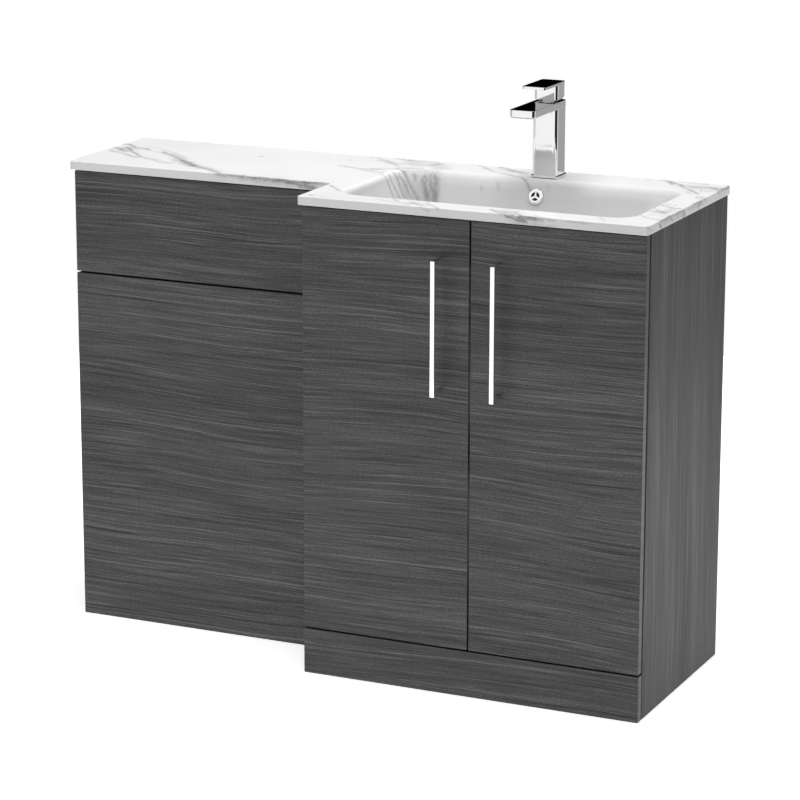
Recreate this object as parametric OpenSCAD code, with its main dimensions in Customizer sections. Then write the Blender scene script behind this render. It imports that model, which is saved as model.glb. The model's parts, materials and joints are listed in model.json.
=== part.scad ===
// Toilet and basin combination unit: a slim back-to-wall toilet housing on the left, a deeper
// two-door basin cabinet on the right, and one L-shaped top with the basin cast in it.
// Millimetres. Origin on the floor at the middle of the outer box; +X right, +Y to the wall, +Z up.

/* [Unit] */
// Width of the toilet housing
wc_w = 500; // [480:5:520]
// Width of the basin cabinet
van_w = 600; // [590:5:630]
// Depth of the basin cabinet, from its door faces to the wall
depth = 380; // [378:1:400]
// How far the toilet housing's front stands behind the door faces
step = 125; // [115:5:125]
// Height of the cabinets, floor to the underside of the top
carcass_h = 803; // [800:1:815]
/* [Boards] */
// Thickness of the cabinet boards
board = 15; // [14:0.5:15]
// Thickness of the doors, panels and plinth
front_t = 15; // [15:0.5:16]
// Space between the fronts and the cabinet edges behind them
back_gap = 3; // [3:0.5:4]
// Visible joint between neighbouring fronts
joint = 3; // [2:0.5:4]
// Height of the plinth
plinth_h = 78; // [76:1:80]
// Height of the toilet housing's lower panel
lower_h = 620.5; // [615:0.5:625]
/* [Top and basin] */
// Thickness of the top
top_t = 15; // [15:1:18]
// Overhang of the top at its ends and at the step
over_side = 3.5; // [2:0.5:5]
// Overhang of the top at the front
over_front = 8; // [6:1:10]
// Width of the basin opening
bowl_w = 524; // [500:2:530]
// Front edge of the basin opening, behind the door faces
bowl_y0 = 36; // [36:1:40]
// Rear edge of the basin opening
bowl_y1 = 306; // [300:1:306]
// Depth of the basin below the top
bowl_depth = 108; // [100:1:110]
// Wall thickness of the basin
bowl_wall = 9; // [8:0.5:9]
// Radius of the basin's corners
bowl_r = 45; // [40:1:55]
/* [Tap] */
// Width of the square tap column, spout and lever
tap_w = 42; // [40:1:44]
// Height of the tap column above the top
tap_h = 129; // [120:1:140]
// Reach of the spout in front of the column
reach = 102; // [90:1:110]
/* [Handles] */
// Length of the door handles
handle_l = 224; // [160:2:260]
// How far a handle stands out of its door
handle_out = 32; // [28:1:35]
// Width of the handle bar
handle_w = 8; // [8:0.5:10]

/* [Hidden] */
$fn = 48;

// ---- planes of the unit, from the housing's left end, the door faces and the floor
x1 = wc_w;                       // line between the two cabinets
x2 = wc_w + van_w;               // right end
xc = wc_w + van_w / 2;           // middle of the basin cabinet
yf = front_t + back_gap;         // front edges of the basin cabinet's boards
yw = step + front_t + back_gap;  // front edges of the toilet housing's boards
top_z = carcass_h + top_t;       // top face
front_z1 = carcass_h - joint;    // upper edge of the fronts
door_z0 = plinth_h + joint;      // lower edge of the doors
acc_z0 = lower_h + 3.5;          // lower edge of the access panel
base_z = plinth_h - 5;           // underside of the cabinet floor
hinge_z = [door_z0 + 100, front_z1 - 100];
px = x2 - 8;                     // hinge axis of the right door
py = 6.8;
hx = 52;                         // handle centre lines, each side of the middle
hz0 = 512;                       // lower end of the handles
wr_z = 703;                      // underside of the wall rails
shelf_z = 352;
pin_y = [105, 315];
waste_y = 185;
waste_z = top_z - bowl_depth - 3; // basin floor at the waste
wbt = 684;                       // underside of the overflow duct
tap_y = 329;                     // tap axis
tb = top_z + 4;                  // foot of the tap column
tt = top_z + tap_h;              // top of the tap column
piv_z = tt - 11;                 // lever's tilt axis
slope_r = 20;                    // slopes of the basin walls from upright
slope_s = 25;
slope_f = 14;
ovf_d = 25.5;                    // depth of the overflow below the top
fx = 250;                        // flush valve
ix = 130;                        // fill valve
cy = 287;
tank_z = 440;
tank_h = 300;

// [side face x, way into the board, y, z, cam axis, cam face]
JOINTS = [for (s = [[x1 + board, 1], [x2 - board, -1]]) each [
    [s[0], s[1], 70, base_z + board / 2, "z", base_z],
    [s[0], s[1], 330, base_z + board / 2, "z", base_z],
    [s[0], s[1], yf + board / 2, 773, "-y", yf + board],
    [s[0], s[1], depth - board / 2, 740, "y", depth - board]],
  for (s = [[board, 1], [x1 - board, -1]]) each [
    [s[0], s[1], yw + 40, carcass_h - board / 2, "z", carcass_h - board],
    [s[0], s[1], yw + board / 2, 610, "-y", yw + board],
    [s[0], s[1], depth - board / 2, 740, "y", depth - board]]];

// [side face x, way into the cabinet, back face of the front, lower end]
ANGLES = [[x1 + board, 1, front_t, 25], [x2 - board, -1, front_t, 25],
  [board, 1, step + front_t, 110], [x1 - board, -1, step + front_t, 110],
  [board, 1, step + front_t, 480], [x1 - board, -1, step + front_t, 480]];

// [seat of the head, way of the shank]
SCREWS = [for (z = hinge_z, d = [-18, 18]) each [
    [[x1 + board + 2, 60, z + d], [-1, 0, 0]],
    [[x2 - board - 2, 60, z + d], [1, 0, 0]]],
  for (b = ANGLES) each [
    [[b[0] + 2 * b[1], b[2] + 24, b[3] + 12.5], [-b[1], 0, 0]],
    [[b[0] + 22 * b[1], b[2] + 2, b[3] + 12.5], [0, -1, 0]]],
  for (x = [85, 415], z = [725, 775]) [[x, depth - board - 2.5, z], [0, 1, 0]]];

CONNECTORS = [for (y = [200, 335], z = [160, 690]) [y, z]];

// ---- helpers
module bx(x0, x1, y0, y1, z0, z1) translate([x0, y0, z0]) cube([x1 - x0, y1 - y0, z1 - z0]);
module place() translate([-(wc_w + van_w) / 2, -(depth - handle_out) / 2, 0]) children();
module other_side() { children(); translate([2 * xc, 0, 0]) mirror([1, 0, 0]) children(); }
module flip() translate([2 * xc, 0, 0]) mirror([1, 0, 0]) children();
module rsq(w, d, r) {
  square([w - 2 * r, d], center = true);
  square([w, d - 2 * r], center = true);
  for (sx = [-1, 1], sy = [-1, 1]) translate([sx * (w / 2 - r), sy * (d / 2 - r)]) circle(r);
}
module along(d) rotate(d[0] > 0 ? [0, 90, 0] : d[0] < 0 ? [0, -90, 0] : d[1] > 0 ? [-90, 0, 0] : [90, 0, 0]) children();
module xcyl(x0, x1, y, z, r) translate([x0, y, z]) rotate([0, 90, 0]) cylinder(r = r, h = x1 - x0);
module ycyl(y0, y1, x, z, r) translate([x, y1, z]) rotate([90, 0, 0]) cylinder(r = r, h = y1 - y0);
module zcyl(z0, z1, x, y, r) translate([x, y, z0]) cylinder(r = r, h = z1 - z0);
module yz_prism(x, w, pts) translate([x, 0, 0]) rotate([90, 0, 90]) linear_extrude(w) polygon(pts);
module hexnut(x, y, z, h, r, bore) translate([x, y, z]) difference() {
  cylinder(r = r, h = h, $fn = 6);
  translate([0, 0, -1]) cylinder(r = bore, h = h + 2);
}

// dowel and cam of one knock-down joint; g is added to every radius and depth
module dowel(j, g = 0) {
  a = j[0] - 10 * j[1]; b = j[0] + (g > 0 ? 31 : 26.8) * j[1];
  xcyl(min(a, b) - g, max(a, b) + g, j[2], j[3], 3.5 + g);
}
module cam(j, g = 0) {
  x = j[0] + 34.4 * j[1];
  if (j[4] == "z") zcyl(j[5] - (g > 0 ? 1 : 0), j[5] + 12 + g, x, j[2], 7.4 + g);
  else if (j[4] == "y") ycyl(j[5] - (g > 0 ? 1 : 0), j[5] + 12 + g, x, j[3], 7.4 + g);
  else ycyl(j[5] - 12 - g, j[5] + (g > 0 ? 1 : 0), x, j[3], 7.4 + g);
}
module joint_cuts(idx) for (i = idx) { dowel(JOINTS[i], 0.1); cam(JOINTS[i], 0.1); }
module dowel_cuts(idx) for (i = idx) dowel(JOINTS[i], 0.1);
module screw_cuts(idx) for (i = idx) translate(SCREWS[i][0]) along(SCREWS[i][1]) translate([0, 0, -1]) cylinder(r = 1.8, h = 13);
module connector_cuts() for (c = CONNECTORS) xcyl(x1 - board - 1, x1 + board + 1, c[0], c[1], 4);
module peg_cuts(x0, x1) for (y = pin_y, k = [-1:1]) xcyl(x0, x1, y, shelf_z - 2.5 + 32 * k, 2.55);

// inset of a basin wall at depth d: rim radius R, slope a, floor fillet F at depth D
function w_0(R, a) = R * cos(a) - R * (1 - sin(a)) * tan(a);
function w_c(R, a, D, F) = w_0(R, a) + (D - F * (1 - sin(a))) * tan(a) + F * cos(a);
function wall_in(R, a, D, F, d) = d <= 0 ? 0
  : d < R * (1 - sin(a)) ? sqrt(R * R - (R - d) * (R - d))
  : d <= D - F * (1 - sin(a)) ? w_0(R, a) + d * tan(a)
  : w_c(R, a, D, F) - sqrt(max(0, F * F - pow(d - D + F, 2)));
function wall_out(R, a, D, F, t, d) = d <= D - F + (F + t) * sin(a) ? w_0(R, a) - t / cos(a) + d * tan(a)
  : w_c(R, a, D, F) - sqrt(max(0, pow(F + t, 2) - pow(d - D + F, 2)));
RIM_S = 14; RIM_R = 32; RIM_F = 5; FIL = 30; CN = 8;
function box_ring(x0, x1, y0, y1, r, z) = [for (c = [0:3], k = [0:CN])
  let (a = c * 90 + k * 90 / CN) [(c == 0 || c == 3 ? x1 - r : x0 + r) + r * cos(a), (c < 2 ? y1 - r : y0 + r) + r * sin(a), z]];
function round_ring(x, y, r, z) = [for (i = [0:4 * CN + 3]) let (a = (i + 0.5) * 360 / (4 * CN + 4)) [x + r * cos(a), y + r * sin(a), z]];
function in_ring(d) = let (s = wall_in(RIM_S, slope_s, bowl_depth, FIL, d), b = wall_in(RIM_R, slope_r, bowl_depth, FIL, d), f = wall_in(RIM_F, slope_f, bowl_depth, FIL, d))
  box_ring(xc - bowl_w / 2 + s, xc + bowl_w / 2 - s, bowl_y0 + f, bowl_y1 - b, bowl_r, top_z - d);
function out_ring(d) = let (s = wall_out(RIM_S, slope_s, bowl_depth, FIL, bowl_wall, d), b = wall_out(RIM_R, slope_r, bowl_depth, FIL, bowl_wall, d), f = wall_out(RIM_F, slope_f, bowl_depth, FIL, bowl_wall, d))
  box_ring(xc - bowl_w / 2 + s, xc + bowl_w / 2 - s, bowl_y0 + f, bowl_y1 - b, bowl_r, top_z - d);
// solid through a list of rings, from the top down
module loft(rings) {
  n = len(rings[0]); m = len(rings);
  polyhedron([for (r = rings, p = r) p], concat(
    [[for (j = [n - 1:-1:0]) j]], [[for (j = [0:n - 1]) (m - 1) * n + j]],
    [for (i = [0:m - 2], j = [0:n - 1]) let (k = (j + 1) % n) [i * n + j, i * n + k, (i + 1) * n + k]],
    [for (i = [0:m - 2], j = [0:n - 1]) let (k = (j + 1) % n) [i * n + j, (i + 1) * n + k, (i + 1) * n + j]]));
}

// ---- toilet housing
module wc_side_left() place() color("#55565a") difference() {
  bx(0, board, yw, depth, 0, carcass_h);
  dowel_cuts([8:10]);
  screw_cuts([12, 16]);
}
module wc_side_right() place() color("#55565a") difference() {
  bx(x1 - board, x1, yw, depth, 0, carcass_h);
  dowel_cuts([11:13]);
  screw_cuts([14, 18]);
  connector_cuts();
}
module wc_top_rail() place() color("#55565a") difference() {
  bx(board, x1 - board, yw, yw + 80, carcass_h - board, carcass_h);
  joint_cuts([8, 11]);
  for (x = [60, wc_w - 60]) ycyl(yw - 1, yw + 14, x, carcass_h - board / 2, 4.05);
}
module wc_middle_rail() place() color("#55565a") difference() {
  bx(board, x1 - board, yw, yw + board, 585, 660);
  joint_cuts([9, 12]);
  for (x = [60, wc_w - 60]) ycyl(yw - 1, yw + 13, x, 645, 4.05);
}
module wc_wall_rail() place() color("#55565a") difference() {
  bx(board, x1 - board, depth - board, depth, wr_z, carcass_h);
  joint_cuts([10, 13]);
  screw_cuts([20:23]);
  for (x = [fx - 75, fx + 75]) ycyl(depth - board - 1, depth + 1, x, 770, 3.5);
}
module wc_access_panel() place() color("#4b4c4e") difference() {
  bx(1, wc_w - 1, step, step + front_t, acc_z0, front_z1);
  for (p = STUDS) ycyl(step + 5.8, step + front_t + 1, p[0], p[1], 3.05);
}
STUDS = [for (x = [60, wc_w - 60], z = [645, carcass_h - board / 2]) [x, z]];
module panel_studs() place() color("#d8d8d8") for (p = STUDS) {
  ycyl(step + 6, step + front_t + 0.5, p[0], p[1], 3);
  ycyl(step + front_t, step + front_t + 13, p[0], p[1], 4);
}
module wc_lower_panel() place() color("#4b4c4e") difference() {
  bx(1, wc_w - 1, step, step + front_t, 0, lower_h);
  screw_cuts([13, 15, 17, 19]);
}

// ---- concealed cistern
module tank_shape(off, z0, z1) translate([fx, cy, z0]) linear_extrude(z1 - z0) rsq(380 - 2 * off, 148 - 2 * off, 12 - off);
module cistern_tank() place() color("#e9e9e6") difference() {
  tank_shape(0, tank_z, tank_z + tank_h);
  tank_shape(4, tank_z + 4, tank_z + tank_h + 1);
  zcyl(tank_z - 1, tank_z + 5, fx, cy, 25);
  zcyl(tank_z - 1, tank_z + 5, ix, cy, 10.6);
}
module cistern_lid() place() color("#dededb") difference() {
  union() {
    tank_shape(-1.2, tank_z + tank_h, tank_z + tank_h + 5);
    tank_shape(4.6, tank_z + tank_h - 7, tank_z + tank_h + 1);
  }
  tank_shape(7, tank_z + tank_h - 8, tank_z + tank_h + 1);
}
module fill_valve() place() color("#f2f2f2") difference() {
  union() {
    zcyl(tank_z - 38, tank_z - 12, ix, cy, 10.3);
    zcyl(tank_z - 13, tank_z - 10, ix, cy, 9);
    zcyl(tank_z - 10.5, tank_z + 5, ix, cy, 10.3);
    zcyl(tank_z + 4, tank_z + 10, ix, cy, 17);
    zcyl(tank_z + 4, tank_z + 245, ix, cy, 9);
    zcyl(tank_z + 240, tank_z + 272, ix, cy, 16);
    bx(ix + 8, ix + 34, cy - 6, cy + 6, tank_z + 252, tank_z + 264);
  }
  zcyl(tank_z - 39, tank_z + 236, ix, cy, 5);
}
module fill_float() place() color("#4a7fb5") difference() {
  zcyl(tank_z + 10.2, tank_z + 62, ix, cy, 28);
  zcyl(tank_z + 9, tank_z + 63, ix, cy, 9.08);
  zcyl(tank_z + 9, tank_z + 50, ix, cy, 13);
  difference() { zcyl(tank_z + 9, tank_z + 56, ix, cy, 25); zcyl(tank_z + 8, tank_z + 57, ix, cy, 16); }
}
module flush_valve() place() color("#f2f2f2") difference() {
  union() {
    zcyl(tank_z - 30, tank_z + 5, fx, cy, 24);
    zcyl(tank_z + 4, tank_z + 8, fx, cy, 36);
    zcyl(tank_z + 4, tank_z + 214, fx, cy, 33);
  }
  zcyl(tank_z - 31, tank_z + 9, fx, cy, 20.3);
  zcyl(tank_z + 9, tank_z + 210, fx, cy, 30.5);
  zcyl(tank_z + 200, tank_z + 216, fx, cy, 6.06);
  for (a = [0, 90]) translate([fx, cy, tank_z + 50]) rotate([0, 0, a]) cube([80, 26, 70], center = true);
}
module flush_plunger() place() color("#c94f3d") difference() {
  union() {
    zcyl(tank_z + 9.2, tank_z + 15, fx, cy, 28);
    zcyl(tank_z + 9.2, tank_z + 252, fx, cy, 6);
    zcyl(tank_z + 246, tank_z + 256, fx, cy, 11);
  }
  zcyl(tank_z + 8, tank_z + 240, fx, cy, 4);
}
module pipe_path(r, e) {
  zcyl(390, 425 + e, fx, cy, r);
  translate([fx, cy - 60, 390]) rotate([0, 90, 0]) rotate_extrude(angle = 90) translate([60, 0]) circle(r);
  ycyl(165 - e, cy - 60, fx, 330, r);
}
module flush_pipe() place() color("#ededea") difference() { pipe_path(20, 0); pipe_path(18, 1); }
module plastic_nuts() place() color("#dcdcd8") {
  hexnut(fx, cy, tank_z - 9, 9, 34, 24.05);
  difference() {
    hexnut(fx, cy, 403, 25, 30, 20.05);
    zcyl(408, 430, fx, cy, 24.05);
  }
  hexnut(ix, cy, tank_z - 10, 10, 17, 10.35);
  difference() {
    union() {
      zcyl(628, 650, xc, waste_y, 25);
      for (a = [0:30:330]) translate([xc, waste_y, 628]) rotate([0, 0, a]) translate([24, -2, 0]) cube([3, 4, 22]);
    }
    zcyl(632, 651, xc, waste_y, 20.95);
    zcyl(627, 633, xc, waste_y, 16.1);
  }
}

// ---- basin cabinet
module vanity_side_left() place() color("#55565a") difference() {
  bx(x1, x1 + board, yf, depth, 0, carcass_h);
  dowel_cuts([0:3]);
  screw_cuts([0, 2, 4, 6, 8]);
  connector_cuts();
  peg_cuts(x1 + board - 9, x1 + board + 1);
}
module vanity_side_right() place() color("#67686b") difference() {
  bx(x2 - board, x2, yf, depth, 0, carcass_h);
  dowel_cuts([4:7]);
  screw_cuts([1, 3, 5, 7, 10]);
  peg_cuts(x2 - board - 1, x2 - board + 9);
}
module vanity_base() place() color("#55565a") difference() {
  bx(x1 + board, x2 - board, yf, depth, base_z, base_z + board);
  joint_cuts([0, 1, 4, 5]);
}
module vanity_front_rail() place() color("#55565a") difference() {
  bx(x1 + board, x2 - board, yf, yf + board, 743, carcass_h);
  joint_cuts([2, 6]);
}
module vanity_wall_rail() place() color("#55565a") difference() {
  bx(x1 + board, x2 - board, depth - board, depth, wr_z, carcass_h);
  joint_cuts([3, 7]);
  for (x = [xc - 200, xc + 200]) ycyl(depth - board - 1, depth + 1, x, 770, 3.5);
}
module plinth() place() color("#4b4c4e") difference() {
  bx(x1, x2, 0, front_t, 0, plinth_h);
  screw_cuts([9, 11]);
}
module shelf() place() color("#55565a") bx(x1 + board + 1.5, x2 - board - 1.5, 85, 345, shelf_z, shelf_z + board);
module shelf_pins() place() color("#c9cacc") other_side() for (y = pin_y) {
  xcyl(x1 + board - 8.5, x1 + board + 10, y, shelf_z - 2.5, 2.5);
  xcyl(x1 + board, x1 + board + 1.2, y, shelf_z - 4, 3.9);
}

// ---- doors
module door_shape() difference() {
  bx(xc + joint / 2, x2 - 1, 0, front_t, door_z0, front_z1);
  for (z = hinge_z) ycyl(front_t - 12, front_t + 1, x2 - 21.5, z, 17.5);
  for (z = [hz0 + 4, hz0 + handle_l - 4]) ycyl(-1, front_t + 1, xc + hx, z, 2.3);
}
module door_right() place() color("#4b4c4e") door_shape();
module door_left() place() color("#4b4c4e") flip() door_shape();
module handle_shape() difference() {
  union() {
    bx(xc + hx - handle_w / 2, xc + hx + handle_w / 2, -handle_out, 6 - handle_out, hz0, hz0 + handle_l);
    for (z = [hz0, hz0 + handle_l - 8]) bx(xc + hx - handle_w / 2, xc + hx + handle_w / 2, 5 - handle_out, 0, z, z + 8);
  }
  for (z = [hz0 + 4, hz0 + handle_l - 4]) ycyl(-14, 1, xc + hx, z, 2.05);
}
module handle_right() place() color("#dfe1e3") handle_shape();
module handle_left() place() color("#dfe1e3") flip() handle_shape();
module handle_screw_shape() for (z = [hz0 + 4, hz0 + handle_l - 4]) difference() {
  union() {
    ycyl(-12, front_t + 1, xc + hx, z, 2);
    ycyl(front_t, front_t + 2.2, xc + hx, z, 4);
  }
  bx(xc + hx - 2.6, xc + hx + 2.6, front_t + 1.1, front_t + 3, z - 0.5, z + 0.5);
  bx(xc + hx - 0.5, xc + hx + 0.5, front_t + 1.1, front_t + 3, z - 2.6, z + 2.6);
}
module handle_screws_right() place() color("#b9bbbe") handle_screw_shape();
module handle_screws_left() place() color("#b9bbbe") flip() handle_screw_shape();
module hinge_cup_shape() for (z = hinge_z) difference() {
  union() {
    ycyl(front_t - 11.95, front_t + 0.6, x2 - 21.5, z, 17.45);
    ycyl(front_t, front_t + 1.1, x2 - 21.5, z, 18.4);
    bx(x2 - 33, x2 - 17, front_t, front_t + 1.1, z - 30, z + 30);
  }
  ycyl(front_t - 11, front_t + 2, x2 - 21.5, z, 16.5);
  zcyl(z - 10.6, z + 10.6, px, py, 1.05);
}
module hinge_cups_right() place() color("#b5b8bb") hinge_cup_shape();
module hinge_cups_left() place() color("#b5b8bb") flip() hinge_cup_shape();
module hinge_arms() place() color("#bfc2c5") other_side() for (z = hinge_z) translate([0, 0, z - 5]) difference() {
  union() {
    zcyl(0, 10, px, py, 2);
    bx(px - 18, px, py - 1, py + 1, 0, 10);
    bx(px - 18, px - 16, py - 1, 45, 0, 10);
    bx(px - 18, x2 - board - 2, 40, 80, 0, 10);
  }
  zcyl(-1, 11, px, py, 1);
}
module hinge_plates() place() color("#b5b8bb") other_side() for (z = hinge_z) difference() {
  union() {
    bx(x2 - board - 2, x2 - board, 34, 84, z - 8, z + 8);
    bx(x2 - board - 2, x2 - board, 50, 70, z - 25, z + 25);
  }
  for (d = [-18, 18]) xcyl(x2 - board - 3, x2 - board + 1, 60, z + d, 1.9);
}
module hinge_pins() place() color("#8c8f92") other_side() for (z = hinge_z) zcyl(z - 9.75, z + 9.75, px, py, 1);
module door_buffers() place() color("#e6e6e6") for (x = [xc - 12, xc + 12], z = [790, base_z + 11]) ycyl(front_t + 0.2, yf, x, z, 3);

// ---- fittings
module cam_locks() place() color("#9a9c9e") for (j = JOINTS) cam(j);
module cam_dowels() place() color("#8f9194") for (j = JOINTS) dowel(j);
module unit_connectors() place() color("#b9bbbe") for (c = CONNECTORS) {
  xcyl(x1 - board - 2, x1 + board + 2, c[0], c[1], 3.9);
  for (x = [x1 - board - 2.5, x1 + board]) xcyl(x, x + 2.5, c[0], c[1], 7);
}
module wood_screws() place() color("#b9bbbe") for (s = SCREWS) translate(s[0]) along(s[1]) {
  translate([0, 0, -1.2]) cylinder(r = 3.5, h = 1.2);
  cylinder(r = 1.7, h = 11);
}
module angle_brackets() place() color("#a9acaf") {
  for (b = ANGLES) {
    xa = min(b[0], b[0] + 2 * b[1]); xb = min(b[0], b[0] + 32 * b[1]);
    difference() {
      union() {
        bx(xa, xa + 2, b[2], b[2] + 34, b[3], b[3] + 25);
        bx(xb, xb + 32, b[2], b[2] + 2, b[3], b[3] + 25);
      }
      xcyl(xa - 1, xa + 3, b[2] + 24, b[3] + 12.5, 1.9);
      ycyl(b[2] - 1, b[2] + 3, b[0] + 22 * b[1], b[3] + 12.5, 1.9);
    }
  }
  for (x = [85, 415]) difference() {
    union() {
      bx(x - 14, x + 14, depth - board - 2.5, depth - board, tank_z - 2.5, 795);
      bx(x - 14, x + 14, 235, depth - board, tank_z - 2.5, tank_z);
    }
    for (z = [725, 775]) ycyl(depth - board - 4, depth, x, z, 1.9);
  }
}

// ---- top with the basin
module duct(pts, w) yz_prism(xc - w / 2, w, pts);
module at_overflow() translate([xc, bowl_y1 - wall_in(RIM_R, slope_r, bowl_depth, FIL, ovf_d), top_z - ovf_d]) rotate([90 - slope_r, 0, 0]) children();
module worktop_basin() place() color("#ececec") difference() {
  union() {
    translate([0, 0, carcass_h]) linear_extrude(top_t) polygon([[-over_side, step - over_front], [x1 - over_side, step - over_front],
      [x1 - over_side, -over_front], [x2 + over_side, -over_front], [x2 + over_side, depth], [-over_side, depth]]);
    difference() {
      duct([[304, 804], [277, 721], [246, wbt], [148, wbt], [148, 706], [228, 706], [262, 745], [278, 804]], 60);
      duct([[299, 803], [271.5, 724], [242.5, 690], [154, 690], [154, 706], [225, 706], [258, 745], [276, 803]], 46);
    }
    loft([for (d = [top_t - 2, 30, 50, 70, 82, 88, 94, 100, 106, 111, 115, bowl_depth + bowl_wall]) out_ring(d)]);
  }
  loft([for (p = [[-4, 0], [0, 0], [0.12, 1], [0.5, 1], [1.2, 1], [2.4, 1], [4, 1], [6.5, 1], [9.5, 1], [13, 1], [17, 1], [22, 1], [45, 1], [66, 1],
      [78, 1], [84, 1], [89, 1], [94, 1], [98.5, 1], [102.5, 1], [105.5, 1], [107.4, 1], [bowl_depth, 1]]) let (r = in_ring(p[0])) [for (q = r) [q[0], q[1], top_z - p[0]]],
    round_ring(xc, waste_y, 34, waste_z)]);
  zcyl(waste_z - 3, waste_z + 5, xc, waste_y, 33);
  zcyl(wbt - 1, waste_z, xc, waste_y, 23);
  at_overflow() translate([0, 0, -15.5]) cylinder(r = 11, h = 22);
  zcyl(carcass_h - 1, top_z + 1, xc, tap_y, 17.5);
}
module overflow_trim() place() color("#d5d7da") at_overflow() difference() {
  union() {
    translate([0, 0, -9]) cylinder(r = 10.7, h = 10);
    translate([0, 0, 0.2]) cylinder(r = 13.5, h = 1.4);
    intersection() { translate([0, 0, -27.4]) sphere(32); cylinder(r = 13.4, h = 6); }
  }
  translate([0, 0, -10]) cylinder(r = 9, h = 12);
  for (a = [30, 150, 270]) rotate([0, 0, a]) intersection() {
    translate([1.9, 0, 0]) linear_extrude(8) polygon([[0, 0], [12, -20], [20, 0], [12, 20]]);
    cylinder(r = 7.6, h = 8);
  }
}
module waste_body() place() color("#d5d7da") difference() {
  union() {
    difference() {
      union() {
        zcyl(waste_z - 3, waste_z, xc, waste_y, 32);
        zcyl(640, waste_z - 2, xc, waste_y, 20.9);
      }
      zcyl(639, waste_z + 1, xc, waste_y, 17.5);
      zcyl(waste_z - 1.5, waste_z + 1, xc, waste_y, 24);
    }
    for (a = [0, 60, 120]) translate([xc, waste_y, 662]) rotate([0, 0, a]) cube([36, 3, 8], center = true);
    zcyl(658, 668, xc, waste_y, 7);
  }
  zcyl(650, 670, xc, waste_y, 4.06);
  bx(xc - 24, xc + 24, waste_y - 7, waste_y + 7, 690.5, 699.5);
}
module waste_washer() place() color("#3a3a3a") difference() {
  zcyl(wbt - 3, wbt, xc, waste_y, 30);
  zcyl(wbt - 4, wbt + 1, xc, waste_y, 21);
}
module waste_plug() place() color("#d5d7da") {
  zcyl(waste_z + 0.2, waste_z + 2.4, xc, waste_y, 31);
  translate([xc, waste_y, waste_z + 2.4]) rotate_extrude() polygon([[0, -1], [31, -1], for (k = [6:-1:0]) [31 * k / 6, 2.2 * (1 - k * k / 36)]]);
  zcyl(652, waste_z + 1, xc, waste_y, 4);
}
module backnuts() place() color("#c8a95c") {
  hexnut(xc, waste_y, wbt - 13, 10, 32, 20.95);
  hexnut(xc, tap_y + 9, carcass_h - 8, 5, 6.2, 3.05);
}
module trap_body() place() color("#f0f0ee") {
  difference() {
    union() {
      zcyl(563, 612, xc, waste_y, 30);
      zcyl(600, 637, xc, waste_y, 16);
      zcyl(633, 637, xc, waste_y, 19);
      ycyl(waste_y + 20, depth - 4, xc, 590, 16);
      ycyl(waste_y + 20, waste_y + 46, xc, 590, 19);
    }
    zcyl(562, 609, xc, waste_y, 27);
    zcyl(600, 638, xc, waste_y, 13.8);
    ycyl(waste_y + 10, depth, xc, 590, 13.8);
  }
  difference() { zcyl(535, 615, xc, waste_y, 15.5); zcyl(534, 616, xc, waste_y, 13.8); }
}
module trap_cup() place() color("#f0f0ee") difference() {
  union() {
    zcyl(505, 563, xc, waste_y, 30);
    zcyl(552, 570.5, xc, waste_y, 33);
  }
  zcyl(508, 571.5, xc, waste_y, 27);
  zcyl(563, 571.5, xc, waste_y, 30.05);
}

// ---- tap
module tap_body() place() color("#d5d7da") difference() {
  union() {
    translate([xc, tap_y, tb - 1]) linear_extrude(tt - tb + 1) rsq(tap_w, tap_w, 4);
    translate([xc, tap_y, top_z + 1]) linear_extrude(3) rsq(tap_w + 3, tap_w + 3, 5);
    translate([xc, tap_y - 5, tt - 13.5]) rotate([90, 0, 0]) linear_extrude(reach + tap_w / 2 - 5) {
      translate([-tap_w / 2, 4]) square([tap_w, 9.5]);
      translate([4 - tap_w / 2, 0]) square([tap_w - 8, 12]);
      for (s = [-1, 1]) translate([s * (tap_w / 2 - 4), 4]) circle(4);
    }
  }
  zcyl(tt - 42, tt + 1, xc, tap_y, 17.7);
  zcyl(tt - 14.5, tt - 5, xc, tap_y - tap_w / 2 - reach + 17, 11);
  bx(xc - 8, xc + 8, tap_y - tap_w / 2 - reach + 17, tap_y, tt - 9.5, tt - 4.5);
  for (s = [-8, 8]) {
    zcyl(top_z, top_z + 19, xc + s, tap_y - 4, 4.5);
    zcyl(top_z, tt - 41, xc + s, tap_y - 4, 3);
  }
  zcyl(top_z, top_z + 18, xc, tap_y + 9, 3.05);
}
module tap_gasket() place() color("#2c2c2c") difference() {
  translate([xc, tap_y, top_z]) linear_extrude(1) rsq(tap_w + 2, tap_w + 2, 5);
  zcyl(top_z - 1, top_z + 2, xc, tap_y, 17);
}
module tap_cartridge() place() color("#efefef") difference() {
  zcyl(tt - 41.7, tt - 3, xc, tap_y, 17.6);
  zcyl(tt - 22.2, tt - 4.9, xc, tap_y, 13.06);
  zcyl(tt - 6, tt - 2, xc, tap_y, 10.6);
  for (s = [-8, 8]) zcyl(tt - 43, tt - 30, xc + s, tap_y - 4, 3);
}
module tap_collar() place() color("#cfd1d4") difference() {
  union() {
    zcyl(tt - 3, tt, xc, tap_y, 17.6);
    zcyl(tt - 1, tt + 2.2, xc, tap_y, 14.5);
  }
  zcyl(tt - 4, tt + 3, xc, tap_y, 10.8);
}
module cartridge_spindle() place() color("#efefef") {
  difference() {
    zcyl(tt - 22, tt - 5, xc, tap_y, 13);
    bx(xc - 4.15, xc + 4.15, tap_y - 14, tap_y + 14, piv_z - 7, tt);
  }
  xcyl(xc - 6, xc + 6, tap_y, piv_z, 1.5);
}
module cartridge_stem() place() color("#c8a95c") difference() {
  bx(xc - 4, xc + 4, tap_y - 4, tap_y + 4, piv_z - 5, tt + 19);
  xcyl(xc - 6, xc + 6, tap_y, piv_z, 1.56);
}
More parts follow.
